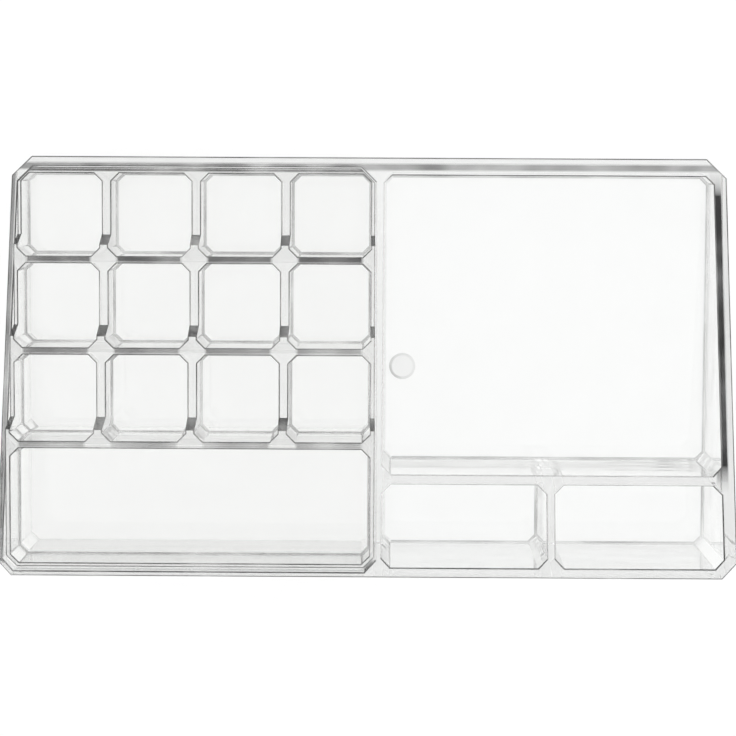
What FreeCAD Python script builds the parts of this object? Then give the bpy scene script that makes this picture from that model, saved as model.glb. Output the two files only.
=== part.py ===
import FreeCAD, Part
import Sketcher
import os

# Clear vanity organizer: a moulded tray with a sloping rim, and a staircase insert of
# lipstick cells that stands in the tray's left bay and lifts out.
# Millimetres and degrees. +X runs along the tray, +Y towards its low side, +Z up.

SIZES = {
    # whole tray
    "overall_width": 225.0,
    "overall_depth": 127.0,
    "tall_height": 52.0,
    "low_height": 14.0,
    "floor_thickness": 2.5,
    "outer_draft": 0.5,
    "inner_draft": 0.6,
    "low_corner_cut": 6.0,
    "tall_corner_cut": 4.4,
    # walls of the tray, measured at the floor
    "bay_side_wall": 2.0,
    "bay_low_wall": 3.2,
    "bay_tall_wall": 1.6,
    "bay_width": 112.2,
    "bay_low_cut": 4.6,
    "bay_tall_cut": 3.2,
    "middle_wall": 2.9,
    "side_wall": 4.15,
    "low_wall": 5.6,
    "tall_wall": 3.05,
    "cross_wall": 3.9,
    "small_depth": 23.4,
    "divider_wall": 3.65,
    "small_width": 49.25,
    "pocket_cut": 2.4,
    "foot_radius": 0.9,
    "rim_radius": 0.5,
    "base_radius": 0.8,
    # gate mark on the floor of the large compartment
    "gate_diameter": 8.4,
    "gate_recess": 0.3,
    "gate_x": 10.9,
    "gate_y": -3.1,
    # staircase insert
    "fit_gap": 0.25,
    "cell_wall": 3.3,
    "cell_length": 25.15,
    "row_pitch": 27.85,
    "cell_depth": 15.0,
    "first_top": 19.2,
    "tier_rise": 8.35,
    "long_rise": 9.8,
    "long_depth": 17.0,
    "insert_side": 1.3,
    "insert_low": 1.9,
    "insert_tall": 0.974,
    "slab": 1.7,
    "skirt": 1.5,
    "tier_rib": 2.0,
    "riser_run": 3.0,
    "riser_setback": 0.8,
    "cell_foot_radius": 0.7,
    "edge_break": 0.35,
    # every cut runs this far past the face that it opens
    "overrun": 6.0,
}
CELLS_IN_ROW = 4
ROWS = 3
TOLERANCE = 1e-4
# roundings that meet in a mitre are sewn together within this distance
MITRE_TOLERANCE = 0.01
# a flat face whose normal rises by more than this share, and not straight up, is a riser
RISER_SHARE = 0.1

doc = FreeCAD.newDocument("vanity_organizer")
sheet = doc.addObject("Spreadsheet::Sheet", "Sizes")
for row, (alias, value) in enumerate(SIZES.items(), start=1):
    sheet.set("A%d" % row, alias)
    sheet.set("B%d" % row, str(value))
    sheet.setAlias("B%d" % row, alias)
doc.recompute()

# Places worked out from the sizes, as expressions on the sheet.
TALL_LEAN = "(Sizes.tall_height * tan(Sizes.outer_draft))"
LOW_LEAN = "(Sizes.low_height * tan(Sizes.outer_draft))"
BASE_LEFT = "(%s - Sizes.overall_width / 2)" % TALL_LEAN
BASE_TALL = "(%s - Sizes.overall_depth / 2)" % TALL_LEAN
BASE_LOW = "(Sizes.overall_depth / 2 - %s)" % LOW_LEAN
BASE_WIDTH = "(Sizes.overall_width - 2 * %s)" % TALL_LEAN
BASE_DEPTH = "(%s - %s)" % (BASE_LOW, BASE_TALL)

BAY_LEFT = "(%s + Sizes.bay_side_wall)" % BASE_LEFT
BAY_TALL = "(%s + Sizes.bay_tall_wall)" % BASE_TALL
BAY_DEPTH = "(%s - Sizes.bay_low_wall - Sizes.bay_tall_wall)" % BASE_DEPTH

ROOM_LEFT = "(%s + Sizes.bay_width + Sizes.middle_wall)" % BAY_LEFT
ROOM_WIDTH = "(%s + %s - Sizes.side_wall - %s)" % (BASE_LEFT, BASE_WIDTH, ROOM_LEFT)
SMALL_TALL = "(%s + Sizes.tall_wall)" % BASE_TALL
LARGE_TALL = "(%s + Sizes.small_depth + Sizes.cross_wall)" % SMALL_TALL
LARGE_DEPTH = "(%s - Sizes.low_wall - %s)" % (BASE_LOW, LARGE_TALL)
SECOND_LEFT = "(%s + Sizes.small_width + Sizes.divider_wall)" % ROOM_LEFT
SECOND_WIDTH = "(%s - Sizes.small_width - Sizes.divider_wall)" % ROOM_WIDTH

INSERT_LEFT = "(%s + Sizes.fit_gap)" % BAY_LEFT
INSERT_TALL = "(%s + Sizes.fit_gap)" % BAY_TALL
INSERT_WIDTH = "(Sizes.bay_width - 2 * Sizes.fit_gap)"
INSERT_DEPTH = "(%s - 2 * Sizes.fit_gap)" % BAY_DEPTH
INSERT_LOW = "(%s + %s)" % (INSERT_TALL, INSERT_DEPTH)
# a corner cut that keeps the fit gap square to its face
CUT_SHARE = 0.586
INSERT_LOW_CUT = "(Sizes.bay_low_cut - Sizes.fit_gap * %s)" % CUT_SHARE
INSERT_TALL_CUT = "(Sizes.bay_tall_cut - Sizes.fit_gap * %s)" % CUT_SHARE
CELL_LEFT = "(%s + Sizes.insert_side)" % INSERT_LEFT
FIRST_CELL_LOW = "(%s - Sizes.insert_low)" % INSERT_LOW
LONG_WIDTH = "(%s - 2 * Sizes.insert_side)" % INSERT_WIDTH
# a row of cells and the walls between them fill the width of the long pocket
CELL_PITCH = "((%s + Sizes.cell_wall) / %d)" % (LONG_WIDTH, CELLS_IN_ROW)
CELL_WIDTH = "(%s - Sizes.cell_wall)" % CELL_PITCH
FLOOR = "Sizes.floor_thickness"


def tier_top(row):
    """Level of the top of a step of cells, the lowest step being row 0."""
    return "(Sizes.first_top + %d * Sizes.tier_rise)" % row


def cell_tall_edge(row):
    """Edge of a row of cells on the side of the tall wall."""
    return "(%s - %d * Sizes.row_pitch - Sizes.cell_length)" % (FIRST_CELL_LOW, row)


LONG_TOP = "(%s + Sizes.long_rise)" % tier_top(ROWS - 1)
LONG_LOW = "(%s - %d * Sizes.row_pitch)" % (FIRST_CELL_LOW, ROWS)
LONG_TALL = "(%s + Sizes.insert_tall)" % INSERT_TALL
LONG_LENGTH = "(%s - %s)" % (LONG_LOW, LONG_TALL)
LONG_FLOOR = "(%s - Sizes.long_depth)" % LONG_TOP


def plane(body, role):
    """Origin plane of a body."""
    return [item for item in body.Origin.OriginFeatures if item.Role == role][0]


def new_sketch(body, label, role, place):
    """Empty sketch on an origin plane, moved to a place given as three expressions."""
    sketch = body.newObject("Sketcher::SketchObject", label)
    sketch.AttachmentSupport = [(plane(body, role), "")]
    sketch.MapMode = "FlatFace"
    for axis, expression in zip("xyz", place):
        sketch.setExpression("AttachmentOffset.Base.%s" % axis, expression)
    return sketch


def size(sketch, kind, first, second, value, expression):
    """One dimension between two points of a sketch, bound to the sheet."""
    index = sketch.addConstraint(Sketcher.Constraint(kind, *first, *second, value))
    sketch.setExpression("Constraints[%d]" % index, expression)


def chain(sketch, points):
    """Closed run of straight lines through the points."""
    count = len(points)
    for index, start in enumerate(points):
        end = points[(index + 1) % count]
        sketch.addGeometry(Part.LineSegment(start, end), False)
    for index in range(count):
        following = (index + 1) % count
        sketch.addConstraint(Sketcher.Constraint("Coincident", index, 2, following, 1))


def cut_rectangle(body, label, place, width, depth, tall_cut, low_cut):
    """Rectangle with cut corners, its lower left corner at the place."""
    sketch = new_sketch(body, label, "XY_Plane", place)
    span = SIZES["cell_length"]
    cut = SIZES["pocket_cut"]
    outline = [(cut, 0), (span - cut, 0), (span, cut), (span, span - cut),
               (span - cut, span), (cut, span), (0, span - cut), (0, cut)]
    chain(sketch, [FreeCAD.Vector(x, y, 0) for x, y in outline])
    for side in (0, 4):
        sketch.addConstraint(Sketcher.Constraint("Horizontal", side))
    for side in (2, 6):
        sketch.addConstraint(Sketcher.Constraint("Vertical", side))
    size(sketch, "DistanceX", (1, 1), (1, 2), cut, tall_cut)
    size(sketch, "DistanceY", (1, 1), (1, 2), cut, tall_cut)
    size(sketch, "DistanceX", (7, 1), (7, 2), cut, tall_cut)
    size(sketch, "DistanceY", (7, 2), (7, 1), cut, tall_cut)
    size(sketch, "DistanceX", (3, 2), (3, 1), cut, low_cut)
    size(sketch, "DistanceY", (3, 1), (3, 2), cut, low_cut)
    size(sketch, "DistanceX", (5, 2), (5, 1), cut, low_cut)
    size(sketch, "DistanceY", (5, 2), (5, 1), cut, low_cut)
    size(sketch, "DistanceX", (6, 1), (2, 1), span, width)
    size(sketch, "DistanceY", (0, 1), (4, 1), span, depth)
    sketch.addConstraint(Sketcher.Constraint("PointOnObject", 6, 2, -2))
    sketch.addConstraint(Sketcher.Constraint("PointOnObject", 0, 1, -1))
    return sketch


def block(body, label, sketch, height):
    """Solid that rises straight from an outline."""
    pad = body.newObject("PartDesign::Pad", label)
    pad.Profile = sketch
    pad.setExpression("Length", height)
    sketch.Visibility = False
    doc.recompute()
    return pad


def hollow(body, label, sketch, height):
    """Hollow that rises straight from an outline."""
    pocket = body.newObject("PartDesign::Pocket", label)
    pocket.Profile = sketch
    pocket.Reversed = True
    pocket.setExpression("Length", height)
    sketch.Visibility = False
    doc.recompute()
    return pocket


def leaned(body, label, feature, level, angle, adds):
    """Draft on the upright faces that start at a level, which keeps their feet in place."""
    foot = body.newObject("PartDesign::Plane", label + "_level")
    foot.AttachmentSupport = [(plane(body, "XY_Plane"), "")]
    foot.MapMode = "FlatFace"
    foot.setExpression("AttachmentOffset.Base.z", level)
    foot.Visibility = False
    doc.recompute()
    height = foot.getGlobalPlacement().Base.z
    names = []
    for index, face in enumerate(feature.Shape.Faces, start=1):
        upright = abs(face.normalAt(0, 0).z) < TOLERANCE
        if upright and abs(face.BoundBox.ZMin - height) < TOLERANCE:
            names.append("Face%d" % index)
    draft = body.newObject("PartDesign::Draft", label)
    draft.Base = (feature, names)
    draft.NeutralPlane = (foot, [""])
    draft.setExpression("Angle", angle)
    draft.Reversed = adds
    doc.recompute()
    return draft


def side_cut(body, label, sketch, width):
    """Cut of a side outline, across the whole body."""
    pocket = body.newObject("PartDesign::Pocket", label)
    pocket.Profile = sketch
    pocket.Midplane = True
    pocket.setExpression("Length", width)
    sketch.Visibility = False
    doc.recompute()
    return pocket


def edges_where(feature, test):
    """Names of a feature's edges whose every vertex passes the test."""
    names = []
    for index, edge in enumerate(feature.Shape.Edges, start=1):
        if all(test(vertex.Point) for vertex in edge.Vertexes):
            names.append("Edge%d" % index)
    return names


def rounded(body, label, feature, names, radius):
    """Rounding of the named edges of a feature."""
    fillet = body.newObject("PartDesign::Fillet", label)
    fillet.Base = (feature, names)
    fillet.setExpression("Radius", radius)
    doc.recompute()
    return fillet


def step_edges(feature, levels):
    """Names of the edges round the tops of the steps, without those of the risers."""
    tops = set()
    risers = set()
    for face in feature.Shape.Faces:
        lift = face.normalAt(0, 0).z
        codes = {edge.hashCode() for edge in face.Edges}
        if lift > 1 - TOLERANCE:
            if any(abs(face.BoundBox.ZMin - level) < TOLERANCE for level in levels):
                tops |= codes
        elif lift > RISER_SHARE and face.Surface.TypeId == "Part::GeomPlane":
            risers |= codes
    wanted = tops - risers
    edges = enumerate(feature.Shape.Edges, start=1)
    return ["Edge%d" % index for index, edge in edges if edge.hashCode() in wanted]


def at_level(level):
    """Test for a point at a level."""
    return lambda point: abs(point.z - level) < TOLERANCE


# Tray: block, sloping top, compartments, bay, roundings and gate mark.
tray = doc.addObject("PartDesign::Body", "tray")
tray.Label = "tray"
outline = cut_rectangle(tray, "tray_outline", (BASE_LEFT, BASE_TALL, "0"), BASE_WIDTH,
                        BASE_DEPTH, "Sizes.tall_corner_cut", "Sizes.low_corner_cut")
feature = block(tray, "tray_block", outline, "Sizes.tall_height")
leaned(tray, "outer_lean", feature, "0", "Sizes.outer_draft", True)

rooms = (
    ("large_compartment", (ROOM_LEFT, LARGE_TALL, FLOOR), ROOM_WIDTH, LARGE_DEPTH),
    ("first_small_compartment", (ROOM_LEFT, SMALL_TALL, FLOOR), "Sizes.small_width",
     "Sizes.small_depth"),
    ("second_small_compartment", (SECOND_LEFT, SMALL_TALL, FLOOR), SECOND_WIDTH,
     "Sizes.small_depth"),
)
for label, place, width, depth in rooms:
    outline = cut_rectangle(tray, label + "_floor", place, width, depth,
                            "Sizes.pocket_cut", "Sizes.pocket_cut")
    hollow(tray, label, outline, "Sizes.tall_height")
outline = cut_rectangle(tray, "bay_floor", (BAY_LEFT, BAY_TALL, FLOOR), "Sizes.bay_width",
                        BAY_DEPTH, "Sizes.bay_tall_cut", "Sizes.bay_low_cut")
feature = hollow(tray, "bay", outline, "Sizes.tall_height")
feature = leaned(tray, "inner_lean", feature, FLOOR, "Sizes.inner_draft", False)
bay_end = outline.getGlobalPlacement().Base.x + SIZES["bay_width"] + TOLERANCE
on_floor = at_level(SIZES["floor_thickness"])
feet = edges_where(feature, lambda point: on_floor(point) and point.x > bay_end)
rounded(tray, "compartment_feet", feature, feet, "Sizes.foot_radius")

slope = new_sketch(tray, "rim_slope", "YZ_Plane", ("-Sizes.overall_depth / 2",
                                                   "Sizes.tall_height", "0"))
run_seed = SIZES["overall_depth"]
drop_seed = SIZES["tall_height"] - SIZES["low_height"]
chain(slope, [FreeCAD.Vector(0, 0, 0), FreeCAD.Vector(run_seed, -drop_seed, 0),
              FreeCAD.Vector(run_seed, 0, 0)])
RUN = "(Sizes.overall_depth + Sizes.overrun)"
DROP = "((Sizes.tall_height - Sizes.low_height) * %s / Sizes.overall_depth)" % RUN
slope.addConstraint(Sketcher.Constraint("Coincident", 0, 1, -1, 1))
slope.addConstraint(Sketcher.Constraint("Vertical", 1))
slope.addConstraint(Sketcher.Constraint("Horizontal", 2))
size(slope, "DistanceX", (2, 2), (2, 1), run_seed, RUN)
size(slope, "DistanceY", (1, 1), (1, 2), drop_seed, DROP)
feature = side_cut(tray, "sloping_top", slope, "Sizes.overall_width + 2 * Sizes.overrun")


def on_rim(point):
    """Test for a point on the plane of the sloping rim."""
    fall = (SIZES["tall_height"] - SIZES["low_height"]) / SIZES["overall_depth"]
    level = SIZES["tall_height"] - fall * (point.y + SIZES["overall_depth"] / 2)
    return abs(point.z - level) < TOLERANCE


feature = rounded(tray, "rim_edges", feature, edges_where(feature, on_rim),
                  "Sizes.rim_radius")
feature = rounded(tray, "base_edges", feature, edges_where(feature, at_level(0)),
                  "Sizes.base_radius")

gate = new_sketch(tray, "gate_outline", "XY_Plane", ("Sizes.gate_x", "Sizes.gate_y", FLOOR))
gate.addGeometry(Part.Circle(FreeCAD.Vector(0, 0, 0), FreeCAD.Vector(0, 0, 1),
                             SIZES["gate_diameter"] / 2), False)
gate.addConstraint(Sketcher.Constraint("Coincident", 0, 3, -1, 1))
index = gate.addConstraint(Sketcher.Constraint("Diameter", 0, SIZES["gate_diameter"]))
gate.setExpression("Constraints[%d]" % index, "Sizes.gate_diameter")
mark = tray.newObject("PartDesign::Pocket", "gate_mark")
mark.Profile = gate
mark.setExpression("Length", "Sizes.gate_recess")
gate.Visibility = False
tray.Tip = mark
doc.recompute()

# Insert: block, staircase top, cells, long pocket and the hollows underneath.
insert = doc.addObject("PartDesign::Body", "tiered_insert")
insert.Label = "tiered_insert"
outline = cut_rectangle(insert, "insert_outline", (INSERT_LEFT, INSERT_TALL, FLOOR),
                        INSERT_WIDTH, INSERT_DEPTH, INSERT_TALL_CUT, INSERT_LOW_CUT)
feature = block(insert, "insert_block", outline, "%s - %s" % (LONG_TOP, FLOOR))
leaned(insert, "insert_lean", feature, FLOOR, "Sizes.inner_draft", True)

floors = []
for row in range(ROWS):
    name = "row_%d" % (row + 1)
    floor = "(%s - Sizes.cell_depth)" % tier_top(row)
    outline = cut_rectangle(insert, name + "_floor", (CELL_LEFT, cell_tall_edge(row), floor),
                            CELL_WIDTH, "Sizes.cell_length", "Sizes.pocket_cut",
                            "Sizes.pocket_cut")
    cell = hollow(insert, name + "_cell", outline, "Sizes.tall_height")
    cells = insert.newObject("PartDesign::LinearPattern", name + "_cells")
    cells.Originals = [cell]
    cells.Direction = (outline, ["H_Axis"])
    cells.setExpression("Length", "%d * %s" % (CELLS_IN_ROW - 1, CELL_PITCH))
    cells.Occurrences = CELLS_IN_ROW
    insert.Tip = cells
    doc.recompute()
    leaned(insert, name + "_lean", cells, floor, "Sizes.inner_draft", False)
    floors.append(outline.getGlobalPlacement().Base.z)

outline = cut_rectangle(insert, "long_floor", (CELL_LEFT, LONG_TALL, LONG_FLOOR), LONG_WIDTH,
                        LONG_LENGTH, "Sizes.pocket_cut", "Sizes.pocket_cut")
feature = hollow(insert, "long_pocket", outline, "Sizes.tall_height")
feature = leaned(insert, "long_lean", feature, LONG_FLOOR, "Sizes.inner_draft", False)
floors.append(outline.getGlobalPlacement().Base.z)

feet = []
for floor in floors:
    feet.extend(edges_where(feature, at_level(floor)))
rounded(insert, "cell_feet", feature, feet, "Sizes.cell_foot_radius")

# Each step ends in a steep riser that meets the corner cuts of its row of cells.
for row in range(ROWS):
    upper = tier_top(row + 1) if row + 1 < ROWS else LONG_TOP
    riser_top = "(%s + Sizes.pocket_cut + Sizes.riser_setback)" % cell_tall_edge(row)
    step = new_sketch(insert, "step_%d_outline" % (row + 1), "YZ_Plane",
                      (riser_top, tier_top(row), "0"))
    run = SIZES["riser_run"]
    reach = SIZES["overall_depth"]
    lift = SIZES["tier_rise"]
    chain(step, [FreeCAD.Vector(run, 0, 0), FreeCAD.Vector(reach, 0, 0),
                 FreeCAD.Vector(reach, lift, 0), FreeCAD.Vector(0, lift, 0)])
    step.addConstraint(Sketcher.Constraint("Horizontal", 0))
    step.addConstraint(Sketcher.Constraint("Vertical", 1))
    step.addConstraint(Sketcher.Constraint("Horizontal", 2))
    step.addConstraint(Sketcher.Constraint("PointOnObject", 0, 1, -1))
    step.addConstraint(Sketcher.Constraint("PointOnObject", 3, 1, -2))
    size(step, "DistanceX", (3, 1), (3, 2), run, "Sizes.riser_run")
    size(step, "DistanceX", (3, 1), (1, 1), reach, "Sizes.overall_depth")
    size(step, "DistanceY", (3, 2), (3, 1), lift, "(%s - %s)" % (upper, tier_top(row)))
    feature = side_cut(insert, "step_%d" % (row + 1), step,
                       "Sizes.overall_width + 2 * Sizes.overrun")

tops = [SIZES["first_top"] + row * SIZES["tier_rise"] for row in range(ROWS)]
tops.append(tops[-1] + SIZES["long_rise"])
broken = insert.newObject("PartDesign::Chamfer", "step_edges")
broken.Base = (feature, step_edges(feature, tops))
broken.setExpression("Size", "Sizes.edge_break")
doc.recompute()

UNDER_LEFT = "(%s + Sizes.skirt)" % INSERT_LEFT
UNDER_TALL = "(%s + Sizes.skirt)" % INSERT_TALL
UNDER_WIDTH = "(%s - 2 * Sizes.skirt)" % INSERT_WIDTH
UNDER_LENGTH = "(Sizes.row_pitch - Sizes.tier_rib)"


def under_edge(row):
    """Edge of the hollow under a row of cells on the side of the tall wall."""
    return "(%s - (%s - Sizes.cell_length) / 2)" % (cell_tall_edge(row), UNDER_LENGTH)


unders = []
for row in range(1, ROWS):
    ceiling = "(%s - Sizes.cell_depth - Sizes.slab)" % tier_top(row)
    unders.append(("under_row_%d" % (row + 1), under_edge(row), UNDER_LENGTH, ceiling))
long_under = "(%s - Sizes.tier_rib - %s)" % (under_edge(ROWS - 1), UNDER_TALL)
unders.append(("under_long", UNDER_TALL, long_under, "(%s - Sizes.slab)" % LONG_FLOOR))
for label, edge, length, ceiling in unders:
    outline = cut_rectangle(insert, label + "_outline", (UNDER_LEFT, edge, FLOOR), UNDER_WIDTH,
                            length, "Sizes.pocket_cut", "Sizes.pocket_cut")
    feature = hollow(insert, label, outline, "%s - %s" % (ceiling, FLOOR))
insert.Tip = leaned(insert, "under_lean", feature, FLOOR, "Sizes.inner_draft", True)
doc.recompute()

os.makedirs("parts", exist_ok=True)
for item in doc.Objects:
    if "Invalid" in item.State or "Error" in item.State:
        raise RuntimeError("%s did not build: %s" % (item.Label, item.State))
for part in (tray, insert):
    shape = part.Shape.copy()
    shape.fix(TOLERANCE, TOLERANCE, MITRE_TOLERANCE)
    if shape.isNull() or not shape.isValid() or len(shape.Solids) != 1:
        raise RuntimeError("%s is not one sound solid" % part.Label)
    shape.exportStep("parts/%s.step" % part.Label)
    print(part.Label, shape.BoundBox, shape.Volume)
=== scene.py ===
import bmesh
import bpy
import numpy as np
from mathutils import Matrix, Vector


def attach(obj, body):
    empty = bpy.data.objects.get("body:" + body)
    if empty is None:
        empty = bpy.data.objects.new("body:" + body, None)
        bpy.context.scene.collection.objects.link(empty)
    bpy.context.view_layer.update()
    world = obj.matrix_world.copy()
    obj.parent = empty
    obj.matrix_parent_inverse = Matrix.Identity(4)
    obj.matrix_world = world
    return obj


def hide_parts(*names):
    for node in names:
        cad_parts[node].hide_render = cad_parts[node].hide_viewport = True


# Looks of a clear moulded vanity organizer: a tray with a sloping rim and a staircase
# insert of lipstick cells, on a white table. Metres, in the frame of the solids.

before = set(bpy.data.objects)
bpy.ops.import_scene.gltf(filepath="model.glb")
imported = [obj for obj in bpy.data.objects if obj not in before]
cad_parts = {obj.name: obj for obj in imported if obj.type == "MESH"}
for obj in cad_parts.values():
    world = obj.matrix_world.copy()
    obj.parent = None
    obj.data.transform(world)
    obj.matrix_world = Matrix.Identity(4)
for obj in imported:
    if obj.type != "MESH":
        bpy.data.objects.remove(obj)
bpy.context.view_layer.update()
scene = bpy.context.scene
scene.view_settings.view_transform = "Standard"
# light crosses many clear walls, and inside a wall it is thrown from face to face dozens of
# times before it gets out
LIGHT_BOUNCES = 64
scene.cycles.max_bounces = LIGHT_BOUNCES
scene.cycles.transmission_bounces = LIGHT_BOUNCES
scene.cycles.glossy_bounces = LIGHT_BOUNCES
scene.cycles.blur_glossy = 0.0

MM = 0.001
CAMERA_PLACE_MM = (4.614, 60.253, 783.0)
CAMERA_AIM_MM = (-0.1, -4.017, 0.0)
CAMERA_ROLL = -0.005
CAMERA_FOCAL_PIXELS = 2438.5
IMAGE_PIXELS = 736
SENSOR_MM = 36.0
TABLE_HALF = 2.0
TABLE_LEVEL = -0.1 * MM
TABLE_GLOW = 0.71
TABLE_TONE = 0.85
TABLE_SEEN_TONE_LOSS = 0.58
HORIZON_LIGHT = 1.0
WALL_LIGHT = 1.45
CEILING_LOSS = 0.6

# sizes of the solids that the painted shade follows
FLOOR_TOP = 2.5 * MM
FOOT_HEIGHT = 1.1 * MM
FIRST_CELL_LOW = 58.03 * MM
FIRST_CELL_LEFT = -108.5 * MM
CELL_LENGTH = 25.15 * MM
CELL_PITCH = 28.1 * MM
CELL_WALL = 3.3 * MM
CORNER_CUT = 2.4 * MM
FRONT_WALL = -55.0 * MM
MIDDLE_WALL = 4.6 * MM
MIDDLE_WALL_REACH = 2.5 * MM
INSERT_RIGHT_EDGE = 0.3 * MM
GATE = (10.9 * MM, -3.1 * MM, 4.2 * MM)
ROWS = 3
ROW_PITCH = 27.85 * MM
STEP_TOPS = tuple(level * MM for level in (19.2, 27.55, 35.9, 45.7))
CELL_FLOORS = tuple(level * MM for level in (4.2, 12.55, 20.9, 28.7))
# the walls between rooms lie within these bounds, and the outer walls beyond them
INNER_SIDE = 103.0 * MM
INNER_LOW = 56.5 * MM
INNER_TALL = -55.5 * MM
# the insert's copy stands this much higher, so that light meets air under it
INSERT_LIFT = 0.05 * MM
MERGE_DISTANCE = 1e-7

# painted shade: bands along the tops of the walls, and the share of clearness that is left in
# them; the band on the right is painted almost black
RIGHT_BAND_X = (106.8 * MM, 110.4 * MM)
RIGHT_BAND_Y = (-34.0 * MM, 56.0 * MM)
RIGHT_SHARE = 0.001
LEFT_BAND_X = (-112.0 * MM, -110.8 * MM)
LEFT_SHARE = 0.2
LOW_BAND_Y = (59.4 * MM, 61.6 * MM)
LOW_SHARE = 0.18
FIRST_BAND_Y = (58.8 * MM, 59.7 * MM)
FIRST_SHARE = 0.1
ROW_WALL_SHARE = 0.045
ROW_WALL_SHARE_GAIN = 0.16
GATE_SHARE = 0.88
GATE_RING_SHARES = (0.5, 0.9)
GATE_RING_WIDTH = 0.8 * MM

# painted shade: clearness of the faces by kind, from nought for black to one for clear; the
# dark rims, edges, risers, feet and front walls stand in for the shade that refraction shows
# there
OUTER_RIM = 0.03
INNER_RIM = 0.45
MIDDLE_RIM = 0.75
TRAY_FOOT = 0.42
MIDDLE_FOOT = 0.8
TRAY_FRONT = 0.82
GATE_SIDE = 0.15
STEP_TOP = 0.9
STEP_EDGE = 0.05
RIGHT_STEP_EDGE = 0.3
RISER = 0.012
CELL_FOOT = 0.35
INSERT_FRONT = 0.8
# a face whose normal rises by less than the first share is upright, by more than the second
# it is flat
UPRIGHT = 0.04
FLAT = 0.94


def place_camera():
    """Camera almost straight above the tray, its up vector turned by the roll."""
    place = Vector(CAMERA_PLACE_MM) * MM
    forward = (Vector(CAMERA_AIM_MM) * MM - place).normalized()
    up = Vector((np.sin(CAMERA_ROLL), np.cos(CAMERA_ROLL), 0.0))
    right = forward.cross(up).normalized()
    up = right.cross(forward)
    data = bpy.data.cameras.new("overhead_camera")
    data.sensor_width = SENSOR_MM
    data.lens = CAMERA_FOCAL_PIXELS / IMAGE_PIXELS * SENSOR_MM
    data.clip_start = 0.01
    data.clip_end = 50.0
    camera = bpy.data.objects.new("overhead_camera", data)
    turn = Matrix((right, up, -forward)).transposed().to_4x4()
    camera.matrix_world = Matrix.Translation(place) @ turn
    scene.collection.objects.link(camera)
    scene.camera = camera


class Graph:
    """Short hand for adding and joining the nodes of one tree."""

    def __init__(self, tree):
        self.tree = tree
        tree.nodes.clear()

    def node(self, kind, inputs=None, **settings):
        """New node with its settings and its inputs: plain values or other nodes' outputs."""
        made = self.tree.nodes.new(kind)
        for name, value in settings.items():
            setattr(made, name, value)
        for key, value in (inputs or {}).items():
            if isinstance(value, bpy.types.NodeSocket):
                self.tree.links.new(value, made.inputs[key])
            else:
                made.inputs[key].default_value = value
        return made

    def math(self, operation, *terms):
        """Value of a sum, product or other operation on plain values or outputs."""
        made = self.node("ShaderNodeMath", dict(enumerate(terms)), operation=operation)
        return made.outputs[0]

    def grey(self, tone):
        """Grey colour of a tone."""
        made = self.node("ShaderNodeCombineColor", {"Red": tone, "Green": tone, "Blue": tone})
        return made.outputs[0]


def moulded_skin_group():
    """Surface of a polished moulding: slow waves left by cooling, fine handling scuffs and
    uneven polish. The tint is the plastic's colour times a painted shade: its clearness, low
    on edges and wall tops, where it stands in for the dark lines that refraction shows. On
    dark edges that painted shade is raised to a power that wanders, so that no edge is
    evenly dark; clear faces stay even."""
    group = bpy.data.node_groups.new("moulded_skin_and_painted_shade", "ShaderNodeTree")
    for name, kind in (("Painted Shade Clearness", "NodeSocketFloat"), ("Wave Size", "NodeSocketFloat"),
                       ("Scuffs", "NodeSocketFloat"), ("Polish", "NodeSocketFloat"),
                       ("Haze", "NodeSocketFloat"), ("Clear", "NodeSocketColor"),
                       ("Deep", "NodeSocketColor")):
        group.interface.new_socket(name, in_out="INPUT", socket_type=kind)
    for name, kind in (("Height", "NodeSocketFloat"), ("Roughness", "NodeSocketFloat"),
                       ("Tint", "NodeSocketColor")):
        group.interface.new_socket(name, in_out="OUTPUT", socket_type=kind)
    g = Graph(group)
    given = g.node("NodeGroupInput").outputs
    place = g.node("ShaderNodeTexCoord").outputs["Object"]
    waves = g.node("ShaderNodeTexNoise", {"Vector": place, "Scale": given["Wave Size"],
                                          "Detail": 1.5, "Roughness": 0.45})
    stretch = g.node("ShaderNodeMapping", {"Vector": place, "Rotation": (0.0, 0.0, 0.6),
                                           "Scale": (90.0, 1400.0, 900.0)})
    scuffs = g.node("ShaderNodeTexNoise", {"Vector": stretch.outputs[0], "Scale": 1.0,
                                           "Detail": 2.0})
    marks = g.node("ShaderNodeMapRange", {"Value": scuffs.outputs[0], "From Min": 0.62,
                                          "From Max": 0.8})
    patches = g.node("ShaderNodeTexNoise", {"Vector": place, "Scale": 55.0, "Detail": 3.0})
    # painted shade: the darkness of dark edges wanders along them
    drift = g.node("ShaderNodeTexNoise", {"Vector": place, "Scale": 70.0, "Detail": 1.0})
    power = g.node("ShaderNodeMapRange", {"Value": drift.outputs[0], "From Min": 0.3,
                                          "From Max": 0.7, "To Min": 0.55, "To Max": 1.45})
    plain = g.math("GREATER_THAN", given["Painted Shade Clearness"], 0.6)
    even = g.node("ShaderNodeMix", {"Factor": plain, "A": power.outputs[0], "B": 1.0})
    clear = g.math("POWER", given["Painted Shade Clearness"], even.outputs[0])
    height = g.math("ADD", waves.outputs[0], g.math("MULTIPLY", marks.outputs[0],
                                                    given["Scuffs"]))
    rough = g.math("ADD", given["Polish"],
                   g.math("MULTIPLY", patches.outputs[0], given["Haze"]))
    tint = g.node("ShaderNodeMix", {"Factor": patches.outputs[0], "A": given["Clear"],
                                    "B": given["Deep"]}, data_type="RGBA")
    both = g.node("ShaderNodeMix", {"Factor": 1.0, "A": tint.outputs["Result"],
                                    "B": g.grey(clear)},
                  data_type="RGBA", blend_type="MULTIPLY")
    g.node("NodeGroupOutput", {"Height": height, "Roughness": rough,
                               "Tint": both.outputs["Result"]})
    return group


def band(g, value, start, end, soft):
    """One between start and end, falling to nought over the soft width at both ends."""
    rise = g.node("ShaderNodeMapRange", {"Value": value, "From Min": start - soft,
                                         "From Max": start + soft})
    fall = g.node("ShaderNodeMapRange", {"Value": value, "From Min": end - soft,
                                         "From Max": end + soft})
    return g.math("SUBTRACT", rise.outputs[0], fall.outputs[0])


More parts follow.
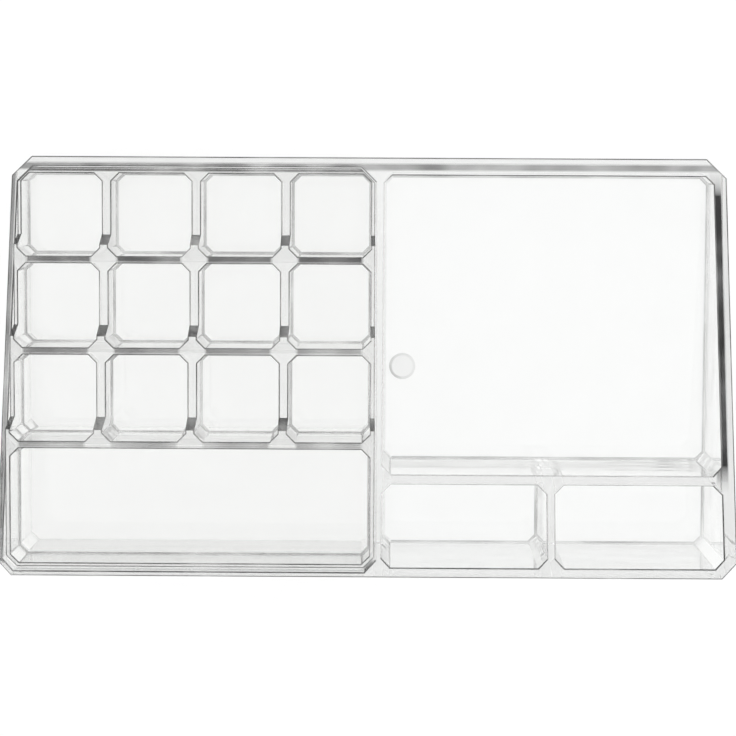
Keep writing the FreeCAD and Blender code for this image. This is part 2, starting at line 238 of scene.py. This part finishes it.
def dimmed(g, painted_shade_clearness, mask, share):
    """Painted shade: clearness that falls to a share of itself where the mask is one."""
    loss = g.math("MULTIPLY", mask, g.math("SUBTRACT", 1.0, share))
    return g.math("MULTIPLY", painted_shade_clearness, g.math("SUBTRACT", 1.0, loss))


def gate_painted_shade(g, place, clear):
    """Painted shade of the gate mark: a dimmed disc with a darker ring, r from its middle,
    that is painted darkest on the left."""
    middle_x, middle_y, radius = GATE
    across = g.math("SUBTRACT", place["X"], middle_x)
    along = g.math("SUBTRACT", place["Y"], middle_y)
    r = g.math("SQRT", g.math("ADD", g.math("MULTIPLY", across, across),
                              g.math("MULTIPLY", along, along)))
    disc = g.math("LESS_THAN", r, radius + 0.2 * MM)
    ring = band(g, r, radius - GATE_RING_WIDTH, radius + 1.0 * MM, 0.2 * MM)
    left_share, right_share = GATE_RING_SHARES
    side = g.node("ShaderNodeMapRange", {"Value": across, "From Min": -radius,
                                         "From Max": radius, "To Min": left_share,
                                         "To Max": right_share})
    shaded_disc = dimmed(g, clear, disc, GATE_SHARE)
    return dimmed(g, shaded_disc, g.math("MULTIPLY", disc, ring), side.outputs[0])


def tray_tops(g, place):
    """Painted shade along the top of the tray's walls, which are looked down end-on: the
    outer walls are painted dimmer than the walls between rooms, the thick one on the right
    most of all, almost black."""
    right = g.math("MULTIPLY", band(g, place["X"], *RIGHT_BAND_X, 0.3 * MM),
                   band(g, place["Y"], *RIGHT_BAND_Y, 4.0 * MM))
    left = band(g, place["X"], *LEFT_BAND_X, 0.3 * MM)
    low = band(g, place["Y"], *LOW_BAND_Y, 0.4 * MM)
    clear = dimmed(g, dimmed(g, 1.0, right, RIGHT_SHARE), left, LEFT_SHARE)
    return gate_painted_shade(g, place, dimmed(g, clear, low, LOW_SHARE))


def insert_tops(g, place):
    """Painted shade along the tops of the steps: t = (low edge of the first row - y) mod the
    row pitch, and u = (x - left edge of the first cell) mod the cell pitch. Beyond a cell's
    length in t, and between its corner cuts in u, lies the wall between two rows, which is
    painted the dimmest and clears with each row. The wall beyond the first row is painted dim
    too."""
    down = g.math("SUBTRACT", FIRST_CELL_LOW, place["Y"])
    t = g.math("MODULO", down, ROW_PITCH)
    u = g.math("MODULO", g.math("SUBTRACT", place["X"], FIRST_CELL_LEFT), CELL_PITCH)
    above = g.math("GREATER_THAN", place["Y"], FIRST_CELL_LOW - ROWS * ROW_PITCH - 1.0 * MM)
    wall = g.math("MULTIPLY",
                  band(g, t, CELL_LENGTH - 0.3 * MM, ROW_PITCH - 0.4 * MM, 0.6 * MM),
                  band(g, u, CORNER_CUT, CELL_PITCH - CELL_WALL - CORNER_CUT, 0.5 * MM))
    row = g.math("FLOOR", g.math("DIVIDE", down, ROW_PITCH))
    share = g.math("ADD", ROW_WALL_SHARE, g.math("MULTIPLY", row, ROW_WALL_SHARE_GAIN))
    first = band(g, place["Y"], *FIRST_BAND_Y, 0.2 * MM)
    tops = dimmed(g, STEP_TOP, g.math("MULTIPLY", wall, above), share)
    return dimmed(g, tops, first, FIRST_SHARE)


def clear_plastic_with_painted_shade(name, skin, tops, waves, clear, deep):
    """Clear moulded plastic with painted shade. Its faces carry their own clearness, a
    painted shade, and a second attribute marks the tops of the walls, whose painted shade
    follows their place."""
    material = bpy.data.materials.new(name)
    material.use_nodes = True
    g = Graph(material.node_tree)
    # painted shade: per face, and on wall tops by place
    own = g.node("ShaderNodeAttribute", attribute_name="painted_shade_clearness").outputs["Fac"]
    top = g.node("ShaderNodeAttribute", attribute_name="wall_top").outputs["Fac"]
    where = g.node("ShaderNodeTexCoord").outputs["Object"]
    place = g.node("ShaderNodeSeparateXYZ", {"Vector": where}).outputs
    mixed = g.node("ShaderNodeMix", {"Factor": top, "A": own, "B": tops(g, place)})
    coat = g.node("ShaderNodeGroup",
                  {"Painted Shade Clearness": mixed.outputs[0], "Wave Size": waves, "Scuffs": 0.02,
                   "Polish": 0.006, "Haze": 0.02, "Clear": clear, "Deep": deep},
                  node_tree=skin)
    bump = g.node("ShaderNodeBump", {"Strength": 1.0, "Distance": 0.05 * MM,
                                     "Height": coat.outputs["Height"]})
    body = g.node("ShaderNodeBsdfPrincipled",
                  {"Base Color": coat.outputs["Tint"], "Roughness": coat.outputs["Roughness"],
                   "IOR": 1.53, "Transmission Weight": 1.0, "Normal": bump.outputs[0]})
    depth = g.node("ShaderNodeVolumeAbsorption", {"Color": (0.51, 0.51, 0.5, 1.0),
                                                  "Density": 4.5})
    g.node("ShaderNodeOutputMaterial", {"Surface": body.outputs[0],
                                        "Volume": depth.outputs[0]})
    return material


def shown_rays(g):
    """One for rays that come from the camera, a mirror or clear plastic, else nought."""
    path = g.node("ShaderNodeLightPath").outputs
    seen = g.math("MAXIMUM", path["Is Camera Ray"], path["Is Glossy Ray"])
    return g.math("MAXIMUM", seen, path["Is Transmission Ray"])


def table_material():
    """White table: mostly an even white where it is seen, with the rest left to the light."""
    material = bpy.data.materials.new("white_table")
    material.use_nodes = True
    g = Graph(material.node_tree)
    seen = shown_rays(g)
    glow = g.node("ShaderNodeEmission", {"Color": (1.0, 1.0, 1.0, 1.0),
                                         "Strength": g.math("MULTIPLY", seen, TABLE_GLOW)})
    tone = g.math("SUBTRACT", TABLE_TONE, g.math("MULTIPLY", seen, TABLE_SEEN_TONE_LOSS))
    lit = g.node("ShaderNodeBsdfDiffuse", {"Color": g.grey(tone)})
    both = g.node("ShaderNodeAddShader", {0: glow.outputs[0], 1: lit.outputs[0]})
    g.node("ShaderNodeOutputMaterial", {"Surface": both.outputs[0]})
    return material


def lay_table():
    """Square table top under the tray, just below its base."""
    corners = np.array([(-1, -1), (1, -1), (1, 1), (-1, 1)]) * TABLE_HALF
    corners = np.column_stack((corners, np.full(len(corners), TABLE_LEVEL)))
    mesh = bpy.data.meshes.new("table_top")
    mesh.from_pydata(corners.tolist(), [], [(0, 1, 2, 3)])
    mesh.materials.append(table_material())
    table = bpy.data.objects.new("table_top", mesh)
    scene.collection.objects.link(table)


def light_room():
    """Soft room that lights the tray from all round: white at the horizon, brightest halfway
    up the walls and dimmer overhead. The camera sees plain white."""
    world = bpy.data.worlds.new("studio_room")
    world.use_nodes = True
    scene.world = world
    g = Graph(world.node_tree)
    camera = g.node("ShaderNodeLightPath").outputs["Is Camera Ray"]
    way = g.node("ShaderNodeTexCoord").outputs["Generated"]
    rise = g.node("ShaderNodeSeparateXYZ", {"Vector": way}).outputs["Z"]
    walls = g.node("ShaderNodeMapRange", {"Value": rise, "From Min": 0.12, "From Max": 0.28,
                                          "To Min": HORIZON_LIGHT, "To Max": WALL_LIGHT},
                   interpolation_type="SMOOTHSTEP")
    ceiling = g.node("ShaderNodeMapRange", {"Value": rise, "From Min": 0.7, "From Max": 0.88,
                                            "To Min": 0.0, "To Max": CEILING_LOSS},
                     interpolation_type="SMOOTHSTEP")
    room = g.math("SUBTRACT", walls.outputs[0], ceiling.outputs[0])
    tone = g.node("ShaderNodeMix", {"Factor": camera, "A": room, "B": 1.0}).outputs[0]
    glow = g.node("ShaderNodeBackground", {"Color": g.grey(tone), "Strength": 1.0})
    g.node("ShaderNodeOutputWorld", {"Surface": glow.outputs[0]})


def dressed_copy(node, name, lift, classes):
    """Copy of a solid's mesh with its doubles merged and every height raised by the lift.
    Each face gets a painted shade and a wall top mark, from its normal and its centre."""
    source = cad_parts[node].data
    places = np.empty(len(source.vertices) * 3)
    source.vertices.foreach_get("co", places)
    places = places.reshape(-1, 3) + np.array((0.0, 0.0, lift))
    mesh = bpy.data.meshes.new(name)
    mesh.from_pydata(places.tolist(), [], [tuple(face.vertices) for face in source.polygons])
    work = bmesh.new()
    work.from_mesh(mesh)
    bmesh.ops.remove_doubles(work, verts=work.verts, dist=MERGE_DISTANCE)
    work.to_mesh(mesh)
    work.free()
    count = len(mesh.polygons)
    normals = np.empty(count * 3)
    centres = np.empty(count * 3)
    mesh.polygons.foreach_get("normal", normals)
    mesh.polygons.foreach_get("center", centres)
    painted_shade_clearness, wall_top = classes(normals.reshape(-1, 3), centres.reshape(-1, 3))
    for title, values in (("painted_shade_clearness", painted_shade_clearness), ("wall_top", wall_top)):
        layer = mesh.attributes.new(title, "FLOAT", "FACE")
        layer.data.foreach_set("value", np.ascontiguousarray(values, dtype=np.float32))
    copy = bpy.data.objects.new(name, mesh)
    scene.collection.objects.link(copy)
    return copy


def tray_classes(normals, centres):
    """Painted shade of the tray faces: rounded rims are painted dark, rounded feet less so,
    the front wall and the gate mark's sides dimmer, floors and other walls clear. Edges of
    the walls between rooms are clearer, those of the middle wall most of all. The sunk floor
    of the gate mark follows its place, as the wall tops do."""
    x, y, z = centres.T
    up = normals[:, 2]
    high = z > FLOOR_TOP + FOOT_HEIGHT
    rim = (up > FLAT) & high
    round_rim = (up > UPRIGHT) & (up <= FLAT) & high
    foot = (up > 0.2) & (up < 0.9) & ~high
    near = np.hypot(x - GATE[0], y - GATE[1]) < 1.2 * GATE[2]
    gate = (np.abs(up) < UPRIGHT) & near & ~high
    sunk = (up > FLAT) & near & (z < FLOOR_TOP - 0.1 * MM)
    inner = (np.abs(x) < INNER_SIDE) & (y < INNER_LOW) & (y > INNER_TALL)
    middle = np.abs(x - MIDDLE_WALL) < MIDDLE_WALL_REACH
    front = (normals[:, 1] > 0.9) & (y < FRONT_WALL) & (up < UPRIGHT)
    painted_shade_clearness = np.where(front, TRAY_FRONT, 1.0)
    painted_shade_clearness = np.where(gate, GATE_SIDE, painted_shade_clearness)
    rim_edge = np.where(inner, np.where(middle, MIDDLE_RIM, INNER_RIM), OUTER_RIM)
    painted_shade_clearness = np.where(round_rim, rim_edge, painted_shade_clearness)
    painted_shade_clearness = np.where(foot, np.where(middle, MIDDLE_FOOT, TRAY_FOOT), painted_shade_clearness)
    return painted_shade_clearness, (rim | sunk).astype(float)


def insert_classes(normals, centres):
    """Painted shade of the insert faces: risers and broken edges are painted dark, rounded
    feet less so, the front wall a little, the rest clear. A face that looks up from the level
    of a step's top is a wall top."""
    x, y, z = centres.T
    up = normals[:, 2]
    step = np.min(np.abs(z[:, None] - np.array(STEP_TOPS)[None, :]), axis=1) < 0.3 * MM
    top = (up > 0.95) & step
    tilted = (up > 0.05) & (up <= 0.95)
    riser = tilted & (normals[:, 1] > 0.9)
    floors = np.array(CELL_FLOORS)[None, :]
    # height over the nearest floor below, with the floors above put out of reach
    over_floor = np.min(z[:, None] - floors + 9.0 * (z[:, None] < floors), axis=1)
    foot = tilted & (over_floor < 0.8 * MM)
    front = (normals[:, 1] > 0.9) & (y < FRONT_WALL)
    edge = np.where(x > INSERT_RIGHT_EDGE, RIGHT_STEP_EDGE, STEP_EDGE)
    painted_shade_clearness = np.where(tilted, edge, np.where(front, INSERT_FRONT, 1.0))
    painted_shade_clearness = np.where(riser, RISER, painted_shade_clearness)
    painted_shade_clearness = np.where(foot, CELL_FOOT, painted_shade_clearness)
    return painted_shade_clearness, top.astype(float)


place_camera()
lay_table()
light_room()
skin = moulded_skin_group()
# clear plastics whose tint carries painted shade on edges and wall tops
tray_plastic_with_painted_shade = clear_plastic_with_painted_shade("clear_tray_plastic_with_painted_shade", skin, tray_tops, 45.0,
                            (0.985, 0.99, 0.985, 1.0), (0.97, 0.975, 0.97, 1.0))
insert_plastic_with_painted_shade = clear_plastic_with_painted_shade("clear_insert_plastic_with_painted_shade", skin, insert_tops, 60.0,
                              (0.995, 0.995, 0.992, 1.0), (0.98, 0.98, 0.976, 1.0))
tray = dressed_copy("tray", "tray_moulding", 0.0, tray_classes)
insert = dressed_copy("tiered_insert", "tiered_insert_moulding", INSERT_LIFT, insert_classes)
for piece, node, body, plastic_with_painted_shade, slot in (
        (tray, "tray", "tray", tray_plastic_with_painted_shade, "tray_plastic"),
        (insert, "tiered_insert", "insert", insert_plastic_with_painted_shade, "insert_plastic")):
    piece.data.materials.append(plastic_with_painted_shade)
    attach(piece, body)
    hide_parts(node)
